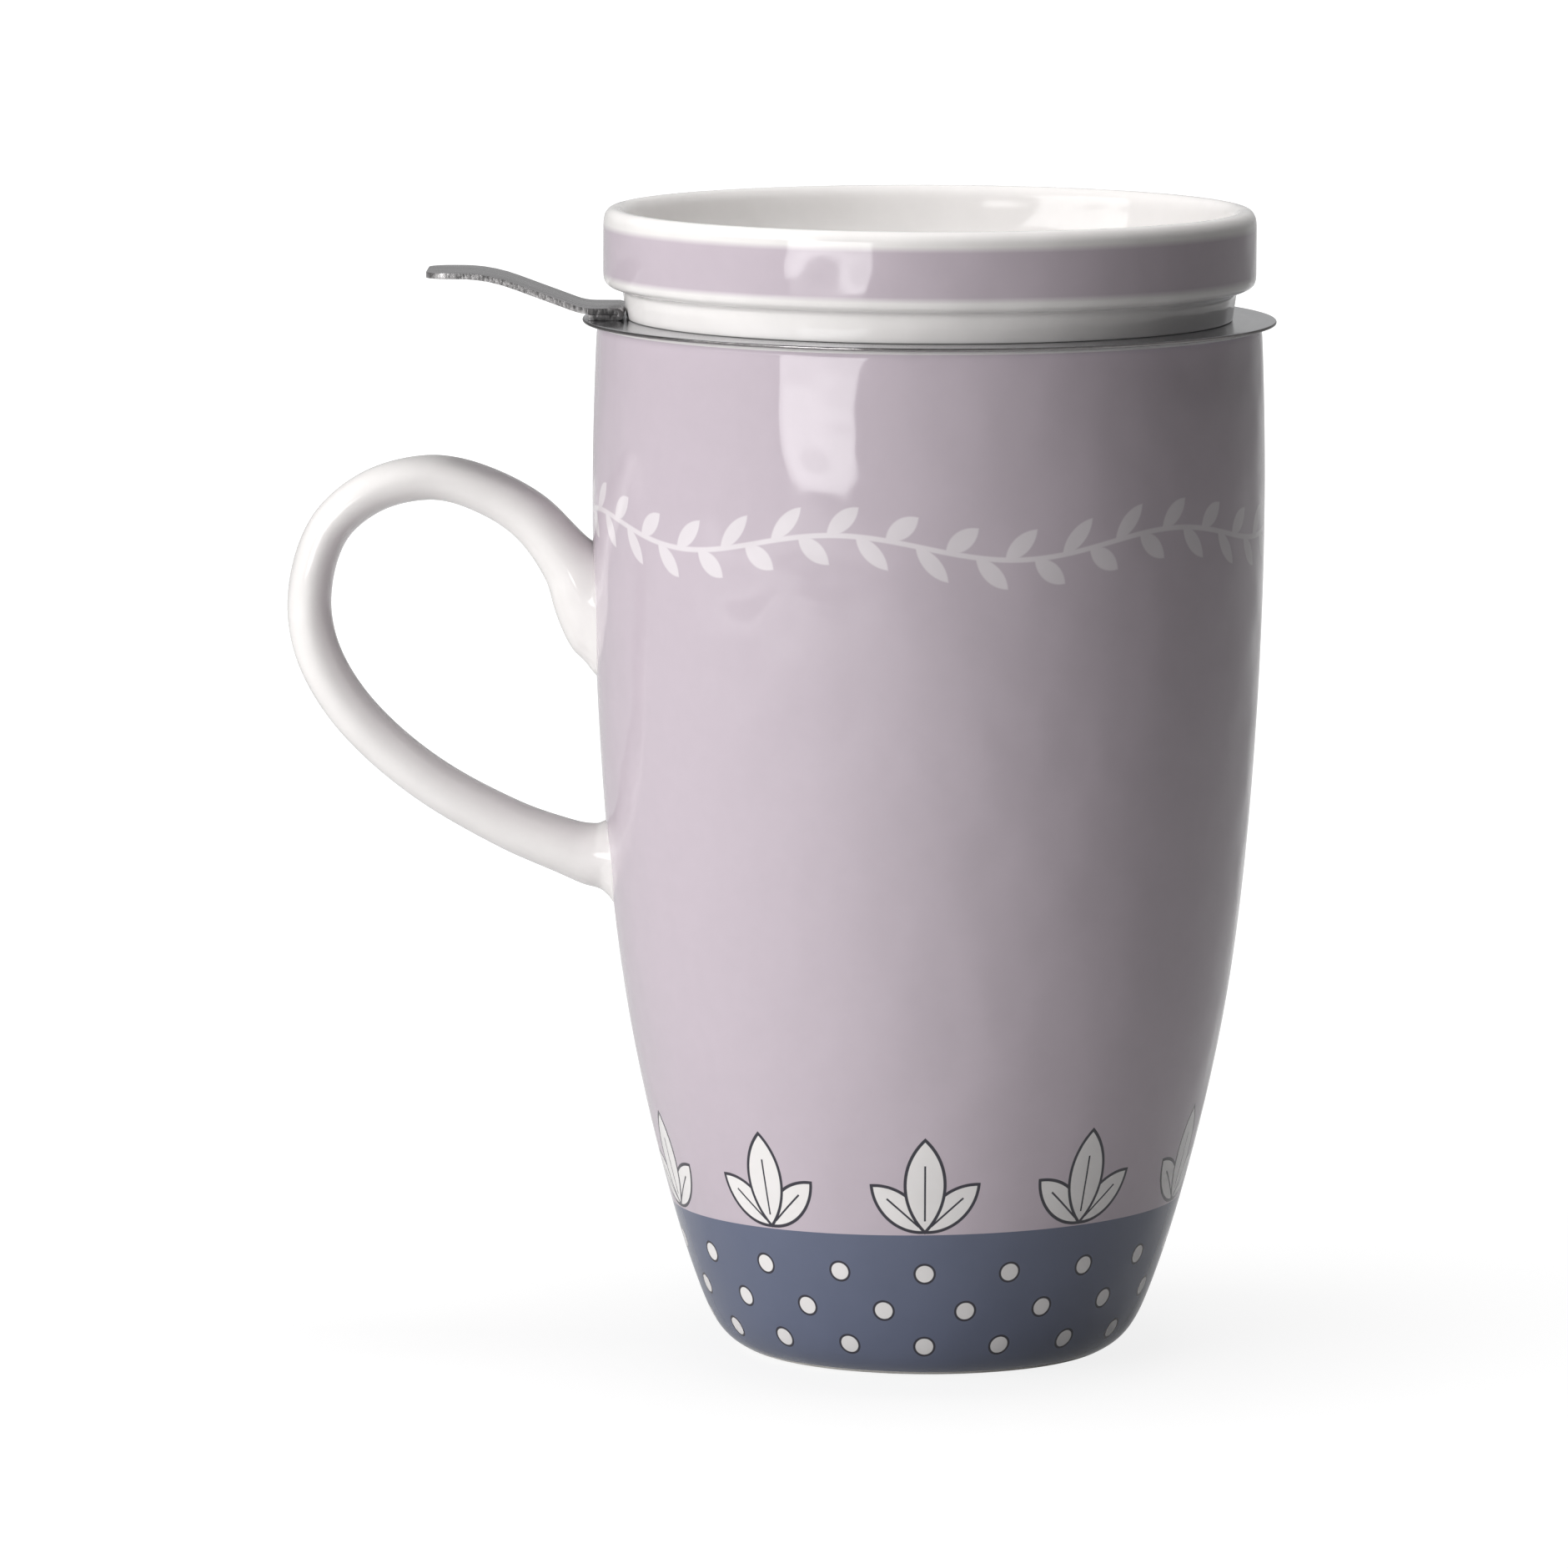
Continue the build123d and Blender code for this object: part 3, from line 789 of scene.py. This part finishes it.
# ---- lid ----------------------------------------------------------------------------------
# A dished porcelain lid, jiggered in one piece: a lilac band with white edges, a recessed white
# collar that stands on the flange, and a ring below that keeps it centred in the neck.
LID_LINE = [              # from the middle of the underside round to the middle of the dish
    (8.0, 137.0), (20.0, 137.0), (31.5, 137.0), (32.9, 136.9), (33.15, 136.3), (33.2, 135.0),
    (33.2, 132.2), (33.25, 131.5), (33.6, 131.12), (34.8, 131.1), (35.9, 131.12), (36.33, 131.5),
    (36.4, 132.2), (36.4, 134.6), (36.45, 135.4), (36.7, 135.6), (37.8, 135.6), (39.2, 135.6),
    (39.5, 135.64), (39.58, 135.9), (39.7, 137.0), (39.85, 138.0), (39.93, 138.6), (40.0, 138.95),
    (40.12, 139.2), (40.4, 139.45), (40.8, 139.58), (41.4, 139.73), (41.9, 139.93), (42.25, 140.22),
    (42.45, 140.62), (42.54, 141.1), (42.55, 141.6), (42.55, 142.3), (42.55, 143.4), (42.55, 145.0),
    (42.55, 147.0), (42.55, 148.3), (42.42, 149.0), (42.08, 149.6), (41.6, 149.93), (41.05, 150.0),
    (40.5, 149.93), (40.02, 149.6), (39.68, 149.0), (39.5, 148.2), (39.2, 146.6), (38.75, 145.0),
    (38.1, 143.4), (37.3, 142.15), (36.2, 141.15), (34.9, 140.5), (32.0, 140.2), (22.0, 140.2),
    (8.0, 140.2),
]
LID_BAND = (141.34, 147.75)               # lower and upper edge of the lilac
LID_BAND_RADIUS = 41.2                    # the lilac lies outside this
LID_BAND_EDGE = 0.8                       # softness of the lilac's edge under the glaze


def lid_colours(tree, place, x, y, z, angle):
    """A lilac band round the outside of the lid's white."""
    middle = sum(LID_BAND) / 2
    beyond = past_strip(tree, calc(tree, "SUBTRACT", z, middle), LID_BAND[1] - middle)
    within = calc(tree, "SUBTRACT", LID_BAND_RADIUS, length_of(tree, x, y))
    band = inside_of(tree, calc(tree, "MAXIMUM", beyond, within), LID_BAND_EDGE)
    return blend_colour(tree, band, white_colours(tree, place, x, y, z, angle), LILAC)


lid = turn_up("lid_dish", LID_LINE)
lid.data.materials.append(glaze("lid_glaze", lid_colours))
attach(lid, "lid")
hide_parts("lid")

# ---- table, backdrop and light ------------------------------------------------------------
# A white sweep that runs under the mug and back, a window at its front left, a high soft one
# and a low reflector farther round, a weak fill behind and a small soft lamp over the lid.
TABLE_SIZE = 14           # metres
TABLE_DROP = 0.0002       # metres between the foot and the sheet
SHEET_GREY = (0.60, 0.60, 0.60)
SHEET_ROUGHNESS = 0.9
SHADOW_SHARE = 0.30       # how much of the sheet's real light the camera sees beside the mug
SHADOW_REACH = 450        # distance from the mug at which it sees none of it
DIMMEST_SHEET = 0.50      # real light on the unshaded sheet round the mug
MIRRORED = (0.26, 0.56)   # shares of white that reflections show, all round and straight behind
BEHIND = (0.80, 1.10)     # cosine of the bearing from straight back where the rise starts, ends
ROOM_LIGHT = 0.03
LAMP_TARGET = Vector((0, 0, 0.1))         # metres
bpy.ops.object.select_all(action="DESELECT")
bpy.ops.mesh.primitive_plane_add(size=TABLE_SIZE, location=(0, 0, -TABLE_DROP))
table = bpy.context.active_object
table.name = table.data.name = "table"


def fade(tree, value, low, high):
    """Rises smoothly from 0 to 1 between two values."""
    ramp = tree.nodes.new("ShaderNodeMapRange")
    ramp.interpolation_type = "SMOOTHSTEP"
    tree.links.new(value, ramp.inputs["Value"])
    ramp.inputs["From Min"].default_value, ramp.inputs["From Max"].default_value = low, high
    return ramp.outputs[0]


def white_share(tree, x, y):
    """Share of plain white that a ray finds in this direction: all of it when looked at, some
    in a reflection, and most of that straight behind the mug, where the sweep rises."""
    straight_back = calc(tree, "DIVIDE", y, length_of(tree, x, y))
    rise = fade(tree, straight_back, *BEHIND)
    share = calc(tree, "MULTIPLY_ADD", rise, MIRRORED[1] - MIRRORED[0], MIRRORED[0])
    rays = tree.nodes.new("ShaderNodeLightPath").outputs
    mirrored = calc(tree, "MULTIPLY", rays["Is Glossy Ray"], share)
    looked_at = calc(tree, "MAXIMUM", rays["Is Camera Ray"], rays["Is Transmission Ray"])
    return calc(tree, "MAXIMUM", looked_at, mirrored)


def white_sweep(name):
    """A pale matt sheet, white to the camera apart from the mug's shadow."""
    material, tree, shader = new_material(name)
    shader.inputs["Base Color"].default_value = (*SHEET_GREY, 1)
    shader.inputs["Roughness"].default_value = SHEET_ROUGHNESS
    shader.inputs["Specular IOR Level"].default_value = 0.0
    plain = tree.nodes.new("ShaderNodeEmission")
    plain_light = (1 - SHADOW_SHARE * DIMMEST_SHEET) / (1 - SHADOW_SHARE)
    plain.inputs["Strength"].default_value = plain_light
    place, x, y, z, angle = object_place(tree)
    far = fade(tree, length_of(tree, x, y), 0, SHADOW_REACH)
    plain_share = calc(tree, "MULTIPLY_ADD", far, SHADOW_SHARE, 1 - SHADOW_SHARE)
    mixed = tree.nodes.new("ShaderNodeMixShader")
    share = calc(tree, "MULTIPLY", white_share(tree, x, y), plain_share)
    tree.links.new(share, mixed.inputs[0])
    tree.links.new(shader.outputs[0], mixed.inputs[1])
    tree.links.new(plain.outputs[0], mixed.inputs[2])
    tree.links.new(mixed.outputs[0], tree.nodes["Material Output"].inputs["Surface"])
    return material


table.data.materials.append(white_sweep("white_sweep"))

world = bpy.data.worlds.new("studio")
bpy.context.scene.world = world
world.use_nodes = True
sky = world.node_tree
room = sky.nodes["Background"]
room.inputs["Color"].default_value = (1, 1, 1, 1)
way = sky.nodes.new("ShaderNodeSeparateXYZ")
sky.links.new(sky.nodes.new("ShaderNodeTexCoord").outputs["Generated"], way.inputs[0])
sky_share = white_share(sky, way.outputs[0], way.outputs[1])
room_light = calc(sky, "MULTIPLY_ADD", sky_share, 1 - ROOM_LIGHT, ROOM_LIGHT)
sky.links.new(room_light, room.inputs["Strength"])


def lamp(name, bearing, distance, height, size, power, mirrored=True):
    """A soft lamp that faces the mug; its bearing is in degrees to the left of the front."""
    data = bpy.data.lights.new(name, "AREA")
    data.shape = "RECTANGLE"
    data.size, data.size_y = size
    data.energy = power
    holder = bpy.data.objects.new(name, data)
    bpy.context.scene.collection.objects.link(holder)
    left, back = -distance * sin(radians(bearing)), -distance * cos(radians(bearing))
    holder.location = (left, back, height)
    holder.rotation_euler = (LAMP_TARGET - holder.location).to_track_quat("-Z", "Y").to_euler()
    holder.visible_glossy = mirrored
    holder.visible_camera = False


lamp("window", 36, 0.75, 0.22, (0.36, 0.30), 1.62)
# two small lamps close to the mug soften the lower end of the window's reflection
lamp("window_foot", 34.5, 0.42, 0.105, (0.165, 0.030), 0.022)
lamp("window_sill", 34.5, 0.42, 0.080, (0.155, 0.020), 0.004)
lamp("high_window", 66, 1.0, 0.62, (0.9, 0.36), 3.0)
lamp("low_reflector", 57, 0.9, 0.15, (0.7, 0.3), 4.6, mirrored=False)
lamp("back_fill", 182, 1.0, 0.45, (1.2, 0.8), 2.3, mirrored=False)
lamp("overhead", 1, 0.01, 0.55, (0.26, 0.14), 1.7, mirrored=False)

# ---- camera -------------------------------------------------------------------------------
# It stands 1.35 m in front of the mug and a little above the lid, with a long lens and a square
# picture, and is turned and rolled by a hair.
CAMERA_PLACE = Vector((0, -1.35, 0.25099))
YAW, PITCH_DOWN, ROLL = -0.0139, 0.1302, 0.0032      # radians
SENSOR_WIDTH = 36
PICTURE_WIDTH, FOCAL_PIXELS = 1880, 12448
forward = Vector((sin(YAW) * cos(PITCH_DOWN), cos(YAW) * cos(PITCH_DOWN), -sin(PITCH_DOWN)))
right = Vector((cos(YAW), -sin(YAW), 0))
up = right.cross(forward)
tilted_right = cos(ROLL) * right + sin(ROLL) * up
tilted_up = cos(ROLL) * up - sin(ROLL) * right
camera_data = bpy.data.cameras.new("camera")
camera_data.sensor_width = SENSOR_WIDTH
camera_data.lens = FOCAL_PIXELS / PICTURE_WIDTH * SENSOR_WIDTH
camera = bpy.data.objects.new("camera", camera_data)
bpy.context.scene.collection.objects.link(camera)
turned = Matrix((tilted_right, tilted_up, -forward)).transposed().to_4x4()
camera.matrix_world = Matrix.Translation(CAMERA_PLACE) @ turned
bpy.context.scene.camera = camera
bpy.context.scene.view_settings.view_transform = "Standard"
